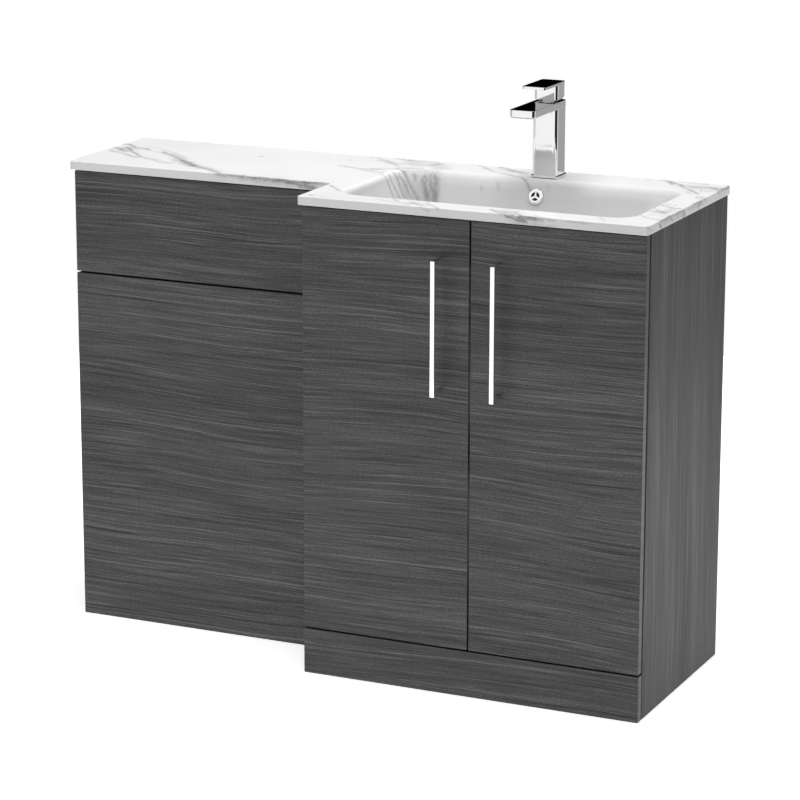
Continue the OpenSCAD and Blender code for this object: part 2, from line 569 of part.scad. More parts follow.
module tap_lever() place() color("#d5d7da") difference() {
  union() {
    translate([xc, tap_y - 27, tt + 27.4]) linear_extrude(4.6) rsq(tap_w, 90, 3);
    translate([xc, tap_y, tt + 3]) linear_extrude(25) rsq(tap_w, 38, 3.5);
  }
  yz_prism(xc - 30, 60, [[tap_y + 4.2, tt + 2.9], [tap_y + 24, tt + 2.9], [tap_y + 24, tt + 9.98]]);
  zcyl(tt + 2, tt + 13, xc, tap_y, 16.5);
  bx(xc - 4.05, xc + 4.05, tap_y - 4.05, tap_y + 4.05, tt + 2, tt + 19.5);
  ycyl(tap_y + 3, tap_y + 20, xc, tt + 16, 2.55);
}
module lever_screw() place() color("#9a9c9e") difference() {
  ycyl(tap_y + 4.2, tap_y + 15, xc, tt + 16, 2.5);
  translate([xc, tap_y + 16, tt + 16]) rotate([90, 0, 0]) cylinder(r = 1.4, h = 4, $fn = 6);
}
module tap_aerator() place() color("#cfd1d4") translate([xc, tap_y - tap_w / 2 - reach + 17, tt - 14.3]) difference() {
  cylinder(r = 10.9, h = 9);
  translate([0, 0, -1]) cylinder(r = 8.5, h = 4);
  translate([0, 0, 5]) cylinder(r = 8.5, h = 5);
  for (x = [-6:3:6], y = [-6:3:6]) if (x * x + y * y < 50) translate([x, y, 0]) cylinder(r = 0.9, h = 9, $fn = 16);
}
module tap_stud() place() color("#c8a95c") zcyl(carcass_h - 18, top_z + 17, xc, tap_y + 9, 3);
module tap_clamp_plate() place() color("#b9bbbe") difference() {
  zcyl(carcass_h - 3, carcass_h, xc, tap_y, 20.5);
  bx(xc - 13, xc + 13, tap_y - 30, tap_y + 3, carcass_h - 4, carcass_h + 1);
  zcyl(carcass_h - 4, carcass_h + 1, xc, tap_y + 9, 3.2);
}

wc_side_left();
wc_side_right();
wc_top_rail();
wc_middle_rail();
wc_wall_rail();
wc_access_panel();
wc_lower_panel();
panel_studs();
cistern_tank();
cistern_lid();
angle_brackets();
fill_valve();
fill_float();
flush_valve();
flush_plunger();
flush_pipe();
plastic_nuts();
vanity_side_left();
vanity_side_right();
vanity_base();
vanity_front_rail();
vanity_wall_rail();
plinth();
shelf();
shelf_pins();
door_left();
door_right();
handle_left();
handle_right();
handle_screws_left();
handle_screws_right();
hinge_cups_left();
hinge_cups_right();
hinge_arms();
hinge_plates();
hinge_pins();
door_buffers();
cam_locks();
cam_dowels();
unit_connectors();
wood_screws();
worktop_basin();
overflow_trim();
waste_body();
waste_washer();
waste_plug();
backnuts();
trap_body();
trap_cup();
tap_body();
tap_gasket();
tap_cartridge();
tap_collar();
cartridge_spindle();
cartridge_stem();
tap_lever();
lever_screw();
tap_aerator();
tap_stud();
tap_clamp_plate();
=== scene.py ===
import bpy, bmesh, json, math
from mathutils import Vector, Matrix

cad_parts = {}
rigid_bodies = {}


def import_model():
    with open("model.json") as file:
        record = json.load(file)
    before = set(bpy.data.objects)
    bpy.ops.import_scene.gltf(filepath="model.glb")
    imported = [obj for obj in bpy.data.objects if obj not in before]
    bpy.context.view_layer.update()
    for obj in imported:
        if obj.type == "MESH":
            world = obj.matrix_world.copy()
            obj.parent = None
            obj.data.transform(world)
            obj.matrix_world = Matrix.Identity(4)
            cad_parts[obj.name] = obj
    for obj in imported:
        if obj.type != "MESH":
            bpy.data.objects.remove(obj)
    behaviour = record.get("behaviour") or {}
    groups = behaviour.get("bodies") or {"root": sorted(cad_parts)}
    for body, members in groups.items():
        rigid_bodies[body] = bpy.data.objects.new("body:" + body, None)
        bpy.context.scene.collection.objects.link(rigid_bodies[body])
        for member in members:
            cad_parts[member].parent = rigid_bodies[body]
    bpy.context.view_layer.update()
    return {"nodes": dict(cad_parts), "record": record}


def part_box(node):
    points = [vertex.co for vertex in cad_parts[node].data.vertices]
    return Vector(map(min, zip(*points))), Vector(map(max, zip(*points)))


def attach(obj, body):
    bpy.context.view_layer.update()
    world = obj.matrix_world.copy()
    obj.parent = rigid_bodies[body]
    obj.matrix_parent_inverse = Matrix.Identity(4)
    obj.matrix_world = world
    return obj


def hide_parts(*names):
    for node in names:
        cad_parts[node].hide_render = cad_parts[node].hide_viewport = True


for o in list(bpy.data.objects):
    bpy.data.objects.remove(o)
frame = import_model()
nodes = frame["nodes"]
scene = bpy.context.scene
scene.view_settings.view_transform = "Standard"
scene.view_settings.look = "None"

# cabinet millimetres (left end, door faces, floor) to the row frame
def P(x, y, z):
    return Vector(((x - 550) / 1000, (y - 174) / 1000, z / 1000))


# ------------------------------------------------------------------ node helpers
class Tree:
    def __init__(self, owner):
        owner.use_nodes = True
        self.t = owner.node_tree
        self.t.nodes.clear()

    def node(self, kind, **kw):
        n = self.t.nodes.new(kind)
        for k, v in kw.items():
            setattr(n, k, v)
        return n

    def put(self, sock, value):
        if isinstance(value, bpy.types.NodeSocket):
            self.t.links.new(value, sock)
        elif value is not None:
            sock.default_value = value

    def math(self, op, a, b=None, c=None, clamp=False):
        n = self.node("ShaderNodeMath", operation=op, use_clamp=clamp)
        for s, v in zip(n.inputs, (a, b, c)):
            self.put(s, v)
        return n.outputs[0]

    def vec(self, op, a, b=None, scale=None):
        n = self.node("ShaderNodeVectorMath", operation=op)
        self.put(n.inputs[0], a)
        self.put(n.inputs[1], b)
        if scale is not None:
            self.put(n.inputs["Scale"], scale)
        return n.outputs["Value"] if op in ("LENGTH", "DOT_PRODUCT", "DISTANCE") else n.outputs["Vector"]

    def sep(self, v):
        n = self.node("ShaderNodeSeparateXYZ")
        self.put(n.inputs[0], v)
        return n.outputs

    def comb(self, x, y, z=0.0):
        n = self.node("ShaderNodeCombineXYZ")
        for s, v in zip(n.inputs, (x, y, z)):
            self.put(s, v)
        return n.outputs[0]

    def noise(self, v, scale=1.0, detail=2.0, rough=0.5, dist=0.0):
        n = self.node("ShaderNodeTexNoise")
        self.put(n.inputs["Vector"], v)
        n.inputs["Scale"].default_value = scale
        n.inputs["Detail"].default_value = detail
        n.inputs["Roughness"].default_value = rough
        n.inputs["Distortion"].default_value = dist
        return n.outputs["Fac"]

    def remap(self, v, a, b, c=0.0, d=1.0, smooth=False):
        n = self.node("ShaderNodeMapRange", interpolation_type="SMOOTHSTEP" if smooth else "LINEAR")
        self.put(n.inputs[0], v)
        for s, x in zip(n.inputs[1:5], (a, b, c, d)):
            self.put(s, x)
        return n.outputs[0]

    def ramp(self, v, stops):
        n = self.node("ShaderNodeValToRGB")
        self.put(n.inputs[0], v)
        r = n.color_ramp
        while len(r.elements) < len(stops):
            r.elements.new(0.5)
        for e, (p, c) in zip(r.elements, stops):
            e.position = p
            e.color = (c if isinstance(c, tuple) else (c, c, c)) + (1,)
        return n.outputs[0]

    def mix(self, f, a, b, blend="MIX"):
        n = self.node("ShaderNodeMix", data_type="RGBA", blend_type=blend)
        self.put(n.inputs[0], f)
        self.put(n.inputs[6], a if isinstance(a, bpy.types.NodeSocket) else tuple(a) + (1,))
        self.put(n.inputs[7], b if isinstance(b, bpy.types.NodeSocket) else tuple(b) + (1,))
        return n.outputs[2]

    def obj(self):
        return self.node("ShaderNodeTexCoord").outputs["Object"]

    def shader(self, color=None, rough=None, bump=None, bump_d=0.0002, bump_s=1.0, **sockets):
        b = self.node("ShaderNodeBsdfPrincipled")
        if color is not None:
            self.put(b.inputs["Base Color"], color if isinstance(color, bpy.types.NodeSocket) else tuple(color) + (1,))
        if rough is not None:
            self.put(b.inputs["Roughness"], rough)
        if bump is not None:
            n = self.node("ShaderNodeBump")
            n.inputs["Distance"].default_value = bump_d
            n.inputs["Strength"].default_value = bump_s
            self.put(n.inputs["Height"], bump)
            self.put(b.inputs["Normal"], n.outputs[0])
        for k, v in sockets.items():
            b.inputs[k.replace("_", " ")].default_value = v
        out = self.node("ShaderNodeOutputMaterial")
        self.t.links.new(b.outputs[0], out.inputs[0])
        return b


def new_mat(name):
    m = bpy.data.materials.new(name)
    return m, Tree(m)


# ------------------------------------------------------------------ materials
def laminate(name, along, across, off, tone=1.0, tint=(1.0, 1.0, 1.0), rough=0.42, contrast=1.0, gloss=0.5,
             fine=1.0, broad=1.0, bright=0.33):
    """Woodgrain laminate. along and across are axis numbers of the face; the third axis is the face's normal."""
    m, t = new_mat(name)
    p = t.sep(t.obj())
    u, v = p[along], p[across]
    face = 3 - along - across
    n1 = t.noise(t.comb(t.math("MULTIPLY", u, 1.5), t.math("MULTIPLY", v, 3.2), off), 1.0, 1.0, 0.45)
    n2 = t.noise(t.comb(t.math("MULTIPLY", u, 16.0), t.math("MULTIPLY", v, 40.0), off + 4.0), 1.0, 2.0, 0.6)
    w = t.math("ADD", v, t.math("MULTIPLY", t.math("SUBTRACT", n1, 0.5), 0.062))
    w = t.math("ADD", w, t.math("MULTIPLY", t.math("SUBTRACT", n2, 0.5), 0.0030))
    def streak(fu, fv, k, detail, rgh):
        return t.noise(t.comb(t.math("MULTIPLY", u, fu), t.math("MULTIPLY", w, fv), off + k), 1.0, detail, rgh)
    g = t.math("MULTIPLY_ADD", t.math("SUBTRACT", streak(3.6, 190.0, 1.0, 4.0, 0.76), 0.5), 0.90, 0.5)
    g = t.math("MULTIPLY_ADD", t.math("SUBTRACT", streak(7.0, 500.0, 7.0, 4.0, 0.80), 0.5), 1.70 * fine, g)
    g = t.math("MULTIPLY_ADD", t.math("SUBTRACT", streak(1.3, 15.0, 3.0, 2.0, 0.5), 0.5), 0.44 * broad, g)
    g = t.math("MULTIPLY_ADD", t.math("SUBTRACT", streak(2.4, 55.0, 13.0, 2.0, 0.5), 0.5), 0.12 * broad, g)
    g = t.math("MULTIPLY_ADD", t.remap(streak(1.9, 250.0, 17.0, 2.0, 0.5), 0.59, 0.67, 0.0, 1.0, True), bright, g)
    g = t.math("MULTIPLY_ADD", t.remap(streak(2.6, 270.0, 29.0, 2.0, 0.5), 0.59, 0.67, 0.0, 1.0, True), -0.32, g)
    speck = t.noise(t.comb(t.math("MULTIPLY", u, 190.0), t.math("MULTIPLY", w, 620.0), off + 50.0), 1.0, 2.0, 0.6)
    g = t.math("MULTIPLY_ADD", t.math("SUBTRACT", speck, 0.5), 0.78, g)
    g = t.math("MULTIPLY_ADD", t.math("SUBTRACT", g, 0.5), contrast, 0.5)
    def c(x):
        return tuple(x * tone * k for k in tint)
    col = t.ramp(g, [(0.16, c(0.006)), (0.42, c(0.033)), (0.52, c(0.046)), (0.68, c(0.076)), (0.92, c(0.128))])
    # plain edge band on the thin sides
    nrm = t.sep(t.node("ShaderNodeTexCoord").outputs["Normal"])
    side = t.remap(t.math("ABSOLUTE", nrm[face]), 0.55, 0.8, 1.0, 0.0)
    spk = t.noise(t.obj(), 900.0, 2.0, 0.6)
    band = t.ramp(spk, [(0.3, c(0.044)), (0.7, c(0.056))])
    col = t.mix(side, col, band)
    r = t.remap(g, 0.4, 0.65, rough + 0.06, rough - 0.05)
    t.shader(col, r, bump=g, bump_d=0.0002, bump_s=0.3, Specular_IOR_Level=gloss)
    return m


def segment_group():
    """Distance in the plane from P to the segment A to A + D, times W."""
    g = bpy.data.node_groups.new("segment", "ShaderNodeTree")
    for n, k in (("P", "NodeSocketVector"), ("A", "NodeSocketVector"), ("D", "NodeSocketVector"), ("K", "NodeSocketFloat"),
                 ("W", "NodeSocketFloat")):
        g.interface.new_socket(n, in_out="INPUT", socket_type=k)
    g.interface.new_socket("Distance", in_out="OUTPUT", socket_type="NodeSocketFloat")
    i, o = g.nodes.new("NodeGroupInput"), g.nodes.new("NodeGroupOutput")
    def vm(op, a, b):
        n = g.nodes.new("ShaderNodeVectorMath"); n.operation = op
        g.links.new(a, n.inputs[0]); g.links.new(b, n.inputs[1])
        return n
    rel = vm("SUBTRACT", i.outputs["P"], i.outputs["A"])
    dot = vm("DOT_PRODUCT", rel.outputs[0], i.outputs["D"])
    mul = g.nodes.new("ShaderNodeMath"); mul.operation = "MULTIPLY"
    g.links.new(dot.outputs["Value"], mul.inputs[0]); g.links.new(i.outputs["K"], mul.inputs[1])
    lo = g.nodes.new("ShaderNodeMath"); lo.operation = "MAXIMUM"; lo.inputs[1].default_value = 0.0
    g.links.new(mul.outputs[0], lo.inputs[0])
    hi = g.nodes.new("ShaderNodeMath"); hi.operation = "MINIMUM"; hi.inputs[1].default_value = 1.0
    g.links.new(lo.outputs[0], hi.inputs[0])
    sc = g.nodes.new("ShaderNodeVectorMath"); sc.operation = "SCALE"
    g.links.new(i.outputs["D"], sc.inputs[0]); g.links.new(hi.outputs[0], sc.inputs["Scale"])
    dist = vm("DISTANCE", rel.outputs[0], sc.outputs[0])
    by = g.nodes.new("ShaderNodeMath"); by.operation = "MULTIPLY"
    g.links.new(dist.outputs["Value"], by.inputs[0]); g.links.new(i.outputs["W"], by.inputs[1])
    g.links.new(by.outputs[0], o.inputs[0])
    return g


SEG = segment_group()

# veins: half width and a polyline, cabinet millimetres in plan; on the outer edges the plan is unfolded
DARK = [
    (8, [(618, 277), (622, 266)]),
    (6, [(-1, 304), (7, 306), (33, 284), (44, 284), (53, 281), (65, 273)]),
    (8, [(101, 260), (222, 164), (250, 147), (281, 124)]),
    (6, [(169, 200), (213, 162), (225, 155), (248, 147)]),
    (5, [(16, 276), (21, 276), (30, 268), (44, 249), (57, 235), (66, 229), (84, 207), (106, 194)]),
    (6, [(281, 117), (417, 114)]),
    (5, [(387, 113), (419, 112), (467, 106)]),
    (5, [(417, 114), (491, 116)]),
    (3, [(537, 224), (568, 217)]),
    (4, [(546, 260), (556, 253)]),
    (3, [(553, 268), (558, 261), (565, 260)]),
    (4.5, [(541, 286), (571, 267), (590, 261)]),
    (4, [(592, 284), (598, 279)]),
    (3.5, [(763, 301), (789, 276)]),
    (3.5, [(860, -7), (866, -12), (901, -20)]),
    (5, [(878, 2), (890, -8), (897, -10), (926, -11)]),
    (3.5, [(887, -11), (899, -18)]),
    (7, [(991, 375), (1002, 369), (1030, 346)]),
    (5, [(1030, 344), (1042, 325), (1051, 319), (1080, 288)]),
    (4, [(1102, 325), (1104, 374)]),
    (4, [(1062, 168), (1088, 150), (1097, 150)]),
    (3.5, [(1105, 51), (1106, 150)]),
    (3.5, [(1107, 42), (1116, 52)]),
]
MEDIUM = [
    (4, [(601, 286), (609, 274), (619, 267)]),
    (4, [(609, 286), (622, 273), (624, 267)]),
    (5, [(590, 280), (606, 268)]),
    (6, [(8, 237), (20, 229), (36, 226), (69, 203), (87, 195)]),
    (7, [(-1, 265), (6, 268), (32, 244), (40, 240), (40, 251)]),
    (5, [(106, 194), (113, 192), (143, 172), (154, 168), (159, 172), (168, 173)]),
    (6, [(439, 108), (464, 104)]),
    (6, [(438, 273), (482, 261), (504, 262), (520, 271)]),
    (6, [(486, 253), (512, 244), (534, 241)]),
    (6, [(536, 289), (552, 299), (575, 308)]),
    (6, [(520, 361), (529, 370), (553, 372), (575, 369), (586, 362)]),
    (6, [(578, 342), (588, 357)]),
    (3, [(545, 241), (552, 236), (567, 237)]),
    (3, [(556, 253), (566, 246), (573, 246)]),
    (3, [(565, 260), (582, 256)]),
    (5, [(574, 268), (584, 265)]),
    (5, [(574, 282), (579, 277)]),
    (5, [(655, 375), (703, 331), (753, 303), (763, 301)]),
    (7, [(691, 376), (710, 366), (732, 350), (740, 348)]),
    (5, [(506, 98), (540, 61), (549, 63)]),
    (4, [(654, 30), (665, 18), (689, -1), (697, -2)]),
    (4.5, [(712, 26), (747, -8)]),
    (6, [(827, 20), (854, -6)]),
    (5, [(854, 4), (876, -7)]),
    (5, [(1003, 365), (1015, 346)]),
    (8, [(1058, 374), (1067, 373)]),
    (5, [(1071, 348), (1082, 346), (1100, 329)]),
    (5, [(1077, 311), (1098, 314)]),
    (4, [(1090, 253), (1089, 266), (1096, 262), (1103, 252)]),
    (4, [(1103, 199), (1105, 236)]),
    (5, [(1105, 233), (1114, 224)]),
    (4, [(1066, 178), (1082, 176)]),
    (4, [(1064, 131), (1076, 118), (1086, 110), (1091, 109)]),
    (4, [(1057, 79), (1072, 63), (1082, 57), (1102, 53)]),
    (4, [(1107, 95), (1114, 102)]),
    (4, [(1108, 153), (1114, 160), (1116, 151)]),
    (4, [(1103, 316), (1108, 327)]),
]
FAINT = [
    (6, [(65, 273), (92, 258), (101, 260)]),
    (6, [(43, 306), (66, 297), (114, 269), (177, 210)]),
    (5, [(109, 202), (153, 175)]),
    (7, [(155, 196), (208, 154)]),
    (7, [(213, 173), (233, 168), (278, 137)]),
    (8, [(494, 266), (514, 273), (538, 288)]),
    (7, [(452, 369), (461, 370), (473, 364), (498, 336), (507, 332), (523, 318), (538, 301)]),
    (6, [(473, 345), (480, 350)]),
    (6, [(489, 351), (499, 345), (528, 316)]),
    (6, [(732, 369), (753, 370)]),
    (6, [(722, 356), (740, 340), (755, 334)]),
    (4, [(725, 284), (730, 279)]),
    (4, [(698, 278), (701, 276)]),
    (4, [(817, 284), (820, 280)]),
    (6, [(509, 6), (528, -3), (557, -3)]),
    (5, [(627, 22), (655, 12), (672, 3)]),
    (5, [(684, 26), (717, -4)]),
    (3, [(717, -9), (733, -14)]),
    (5, [(841, 23), (857, 10), (879, 7)]),
    (5, [(845, 34), (872, 19)]),
    (3, [(906, -21), (950, -19)]),
    (5, [(910, 3), (923, -6), (936, -10), (948, -10)]),
    (5, [(1009, 30), (1025, 10)]),
    (3, [(970, -11), (1010, -11)]),
    (7, [(963, 368), (982, 375), (991, 375)]),
    (7, [(1016, 377), (1048, 373), (1058, 374)]),
    (6, [(1038, 338), (1060, 339), (1071, 348)]),
    (6, [(1059, 293), (1070, 286)]),
    (7, [(1094, 248), (1101, 243)]),
    (5, [(1071, 86), (1103, 78)]),
    (4, [(1100, -10), (1108, -2), (1114, 9)]),
]
CLOUDED = [
    (16, [(574, 292), (582, 268)]),
    (12, [(556, 288), (568, 262)]),
    (17, [(592, 292), (602, 268)]),
    (20, [(606, 290), (616, 267)]),
    (12, [(500, 376), (517, 371), (541, 359), (566, 350), (597, 343)]),
    (13, [(482, 350), (512, 330)]),
    (16, [(842, 10), (866, -2), (888, -18)]),
    (16, [(13, 255), (33, 242), (40, 272)]),
    (14, [(154, 210), (232, 152)]),
    (9, [(327, 112), (447, 110)]),
    (26, [(533, 345), (560, 336), (585, 348), (603, 324)]),
    (9, [(611, 280), (622, 268)]),
    (16, [(577, 274), (604, 268)]),
    (10, [(552, 255), (574, 252)]),
    (18, [(708, 358), (731, 347), (752, 346)]),
    (14, [(688, 13), (722, 5)]),
    (14, [(846, 12), (865, 8), (887, -5)]),
    (6, [(865, -12), (912, -14)]),
    (24, [(1036, 342), (1086, 340)]),
    (14, [(1073, 110), (1090, 99), (1090, 136)]),
    (9, [(1110, 54), (1111, 155)]),
    (6, [(1107, 174), (1109, 260)]),
]


def marble(name, wrap):
    m, t = new_mat(name)
    p = t.obj()
    if wrap:  # on the outer edges the pattern folds down over the edge
        s = t.sep(p)
        nrm = t.sep(t.node("ShaderNodeTexCoord").outputs["Normal"])
        down = t.math("SUBTRACT", 0.818, s[2])
        q = t.comb(t.math("ADD", s[0], t.math("MULTIPLY", nrm[0], down)),
                   t.math("ADD", s[1], t.math("MULTIPLY", nrm[1], down)), 0.0)
    else:
        q = t.vec("MULTIPLY", p, (1, 1, 0))
    def shift(v, scale, amp, z):
        a = t.noise(t.vec("ADD", v, (0.0, 0.0, z)), scale, 3.0, 0.55)
        b = t.noise(t.vec("ADD", v, (3.1, 1.7, z)), scale, 3.0, 0.55)
        return t.vec("ADD", v, t.comb(t.math("MULTIPLY", t.math("SUBTRACT", a, 0.5), amp),
                                      t.math("MULTIPLY", t.math("SUBTRACT", b, 0.5), amp), 0.0))
    q0 = q
    q = shift(q, 16.0, 0.008, 0.3)
    q = shift(q, 60.0, 0.0065, 0.8)
    q = shift(q, 210.0, 0.0030, 1.6)
    def nearest(lines):
        d = None
        for half, line in lines:
            for (x0, y0), (x1, y1) in zip(line, line[1:]):
                g = t.node("ShaderNodeGroup")
                g.node_tree = SEG
                t.put(g.inputs["P"], q)
                dx, dy = (x1 - x0) / 1000, (y1 - y0) / 1000
                g.inputs["A"].default_value = ((x0 - 550) / 1000, (y0 - 174) / 1000, 0)
                g.inputs["D"].default_value = (dx, dy, 0)
                g.inputs["K"].default_value = 1 / (dx * dx + dy * dy)
                g.inputs["W"].default_value = 1000 / half
                d = g.outputs[0] if d is None else t.math("MINIMUM", d, g.outputs[0])
        return d
    thick = t.remap(t.noise(q0, 26.0, 3.0, 0.6), 0.3, 0.7, 1.5, 0.75)
    broken = t.noise(t.vec("ADD", q0, (5.0, 0, 0)), 60.0, 5.0, 0.72)
    def line(d, power):
        x = t.math("SUBTRACT", 1.0, t.math("MULTIPLY", d, thick), clamp=True)
        return t.math("POWER", x, power)
    d1, d2, d3, d4 = nearest(DARK), nearest(MEDIUM), nearest(FAINT), nearest(CLOUDED)
    f = t.math("MULTIPLY", line(t.math("MULTIPLY", d1, 0.82), 1.2), t.remap(broken, 0.36, 0.60, 0.36, 0.74))
    f = t.math("MAXIMUM", f, t.math("MULTIPLY", line(t.math("MULTIPLY", d2, 0.85), 1.0), t.remap(broken, 0.36, 0.58, 0.28, 0.60)))
    f = t.math("MAXIMUM", f, t.math("MULTIPLY", line(d3, 1.0), t.remap(broken, 0.38, 0.6, 0.14, 0.36)))
    # a soft grey halo about the veins, itself finely streaked
    halo = t.math("MAXIMUM", t.math("MULTIPLY", line(t.math("MULTIPLY", d1, 0.34), 1.5), 0.17), t.math("MULTIPLY", line(d4, 0.7), 0.36))
    f = t.math("ADD", f, t.math("MULTIPLY", halo, t.remap(broken, 0.38, 0.62, 0.45, 1.2)))
    # very faint random veining everywhere
    r = t.noise(t.vec("ADD", q, (9.0, 4.0, 0)), 7.0, 5.0, 0.55, 0.8)
    ridge = t.math("SUBTRACT", 1.0, t.math("MULTIPLY", t.math("ABSOLUTE", t.math("SUBTRACT", r, 0.5)), 26.0), clamp=True)
    where = t.remap(t.noise(t.vec("ADD", q0, (2.0, 8.0, 0)), 5.0, 2.0, 0.5), 0.5, 0.66, 0.0, 1.0, True)
    f = t.math("ADD", f, t.math("MULTIPLY", t.math("MULTIPLY", ridge, where), 0.012), clamp=True)
    cloud = t.noise(q0, 9.0, 3.0, 0.55)
    base = t.ramp(cloud, [(0.35, (0.880, 0.880, 0.881)), (0.65, (0.886, 0.886, 0.886))])
    if wrap:
        # painted shade: below the top's rounding the outer edge faces are painted darker, 0.785 against about 0.88 on
        # the face
        base = t.mix(t.remap(down, 0.0004, 0.0014, 0.0, 1.0), base, (0.785, 0.785, 0.787))
    else:  # painted shade: the bowl is painted greyer than the face, darker with depth below the rim, standing in for light falloff
        z = t.sep(p)[2]
        # cast here is painted shade, from 0.86 at the rim shoulder down to about 0.54 deep in the bowl
        cast = t.ramp(t.remap(z, 0.818, 0.788), [(0.0, 0.86), (0.012, 0.80), (0.035, 0.725), (0.10, 0.635), (0.20, 0.572), (0.30, 0.54),
                                                 (0.43, 0.572), (0.60, 0.60), (0.80, 0.618)])
        # painted light: the left end of the bowl is painted up to 1.16 times lighter
        cast = t.mix(t.remap(t.sep(p)[0], -0.006, 0.020, 1.0, 0.0, True), cast, (1.16, 1.16, 1.16), "MULTIPLY")
        x, y, _ = t.sep(p)
        # painted shade: the face is painted 4.5% darker on the bowl's front lip and up to 2.7% darker towards the right
        # end
        lip_and_right_end_shade = t.math("MAXIMUM", t.math("MULTIPLY", t.remap(y, -0.125, -0.160), t.remap(x, -0.06, -0.03)), t.remap(x, 0.16, 0.34, 0.0, 0.6))
        base = t.mix(lip_and_right_end_shade, base, (0.955, 0.955, 0.955), "MULTIPLY")
        base = t.mix(t.remap(z, 0.81799, 0.81794), base, cast)
    col = t.mix(f, base, (0.235, 0.237, 0.245))
    t.shader(col, t.remap(cloud, 0.3, 0.7, 0.27, 0.32), Specular_IOR_Level=0.3)
    return m


def metal(name, color, rough, grain=0.0, scale=300.0, underside_shade=None):
    m, t = new_mat(name)
    n = t.noise(t.obj(), 40.0, 3.0, 0.6)
    fine = t.noise(t.obj(), scale, 3.0, 0.6)
    col = t.ramp(n, [(0.3, tuple(c * 0.97 for c in color)), (0.7, color)])
    if underside_shade:
        # painted shade: faces turned downwards are painted darker, fading in as the normal turns down
        down = t.sep(t.node("ShaderNodeTexCoord").outputs["Normal"])[2]
        col = t.mix(t.remap(down, -0.12, -0.45, 0.0, 1.0), col, underside_shade)
    t.shader(col, t.remap(n, 0.3, 0.7, rough * 0.8, rough * 1.25), bump=fine if grain else None, bump_d=grain or 0.0001,
             bump_s=0.4, Metallic=1.0)
    return m


def plastic(name, color, rough=0.35, grain=0.00003):
    m, t = new_mat(name)
    n = t.noise(t.obj(), 30.0, 3.0, 0.6)
    fine = t.noise(t.obj(), 1400.0, 2.0, 0.6)
    col = t.ramp(n, [(0.3, tuple(c * 0.95 for c in color)), (0.7, color)])
    t.shader(col, t.remap(n, 0.3, 0.7, rough - 0.05, rough + 0.07), bump=fine, bump_d=grain, bump_s=0.5)
    return m


X, Y, Z = 0, 1, 2
FRONT = {n: laminate("laminate_" + n, X, Z, k) for n, k in
         (("wc_access_panel", 3.0), ("wc_lower_panel", 11.0), ("door_left", 23.0), ("door_right", 37.0), ("plinth", 51.0))}
# painted light: the four side panels get a copy of the front laminate painted 1.55 times lighter, bluer and lower in
# contrast, standing in for the light and sheen on the side
SIDE_SHEEN_TINT = (1.0, 1.0, 1.065)
SIDES_PAINTED_LIGHTER = {n: laminate("laminate_" + n, Z, Y, k, 1.55, SIDE_SHEEN_TINT, 0.55, 0.38, 0.25, 0.60, 1.7, 0.50) for n, k in
         (("wc_side_left", 61.0), ("wc_side_right", 67.0), ("vanity_side_left", 73.0), ("vanity_side_right", 79.0))}
INNER_XZ = laminate("laminate_rails", X, Z, 83.0)
INNER_XY = laminate("laminate_shelves", X, Y, 89.0)
MARBLE = marble("marble", False)
MARBLE_EDGE = marble("marble_edge", True)
CAST = plastic("cast_back", (0.62, 0.61, 0.59), 0.7, 0.0002)
CHROME = metal("chrome_polished", (0.90, 0.905, 0.91), 0.035, underside_shade=(0.60, 0.605, 0.61))
STEEL = metal("zinc_steel", (0.45, 0.46, 0.475), 0.34, 0.00004)
BRASS = metal("brass_turned", (0.78, 0.60, 0.30), 0.25, 0.00003)
WHITE = plastic("plastic_white", (0.82, 0.82, 0.80))
CREAM = plastic("plastic_cistern", (0.76, 0.76, 0.73), 0.42)
BLUE = plastic("plastic_blue", (0.06, 0.20, 0.42))
RED = plastic("plastic_red", (0.50, 0.07, 0.05))
# black rubber for the washer and gasket; on the overflow trim it is also painted shadow inside the openings
BLACK_RUBBER_AND_HOLE_SHADE = plastic("rubber_black_and_hole_shade", (0.02, 0.02, 0.02), 0.6, 0.0001)
BUFFER = plastic("rubber_clear", (0.62, 0.63, 0.63), 0.35)


# ------------------------------------------------------------------ mesh helpers
def finish_mesh(o, angle=35.0, weighted=True):
    me = o.data
    me.polygons.foreach_set("use_smooth", [True] * len(me.polygons))
    b = bmesh.new()
    b.from_mesh(me)
    lim = math.radians(angle)
    for e in b.edges:
        e.smooth = len(e.link_faces) == 2 and e.calc_face_angle(0) < lim
    b.to_mesh(me)
    b.free()
    if weighted:
        w = o.modifiers.new("normals", "WEIGHTED_NORMAL")
        w.mode, w.weight, w.keep_sharp = "FACE_AREA", 50, True


def from_bm(name, b):
    me = bpy.data.meshes.new(name)
    b.to_mesh(me)
    b.free()
    o = bpy.data.objects.new(name, me)
    scene.collection.objects.link(o)
    return o


def build(name, verts, faces, tags=None):
    """A closed mesh from cabinet millimetres; tags are material numbers."""
    b = bmesh.new()
    vs = [b.verts.new(P(*v)) for v in verts]
    for i, f in enumerate(faces):
        k = []
        for j in f:
            if vs[j] not in k:
                k.append(vs[j])
        if len(k) > 2:
            try:
                b.faces.new(k).material_index = tags[i] if tags else 0
            except ValueError:
                pass
    bmesh.ops.remove_doubles(b, verts=b.verts, dist=1e-7)
    bmesh.ops.recalc_face_normals(b, faces=b.faces)
    return from_bm(name, b)


def loft(rings, caps=(True, True)):
    n = len(rings[0])
    verts = [p for r in rings for p in r]
    faces = [(i * n + j, i * n + (j + 1) % n, (i + 1) * n + (j + 1) % n, (i + 1) * n + j)
             for i in range(len(rings) - 1) for j in range(n)]
    if caps[0]:
        faces.append(tuple(range(n)))
    if caps[1]:
        faces.append(tuple((len(rings) - 1) * n + j for j in range(n)))
    return verts, faces


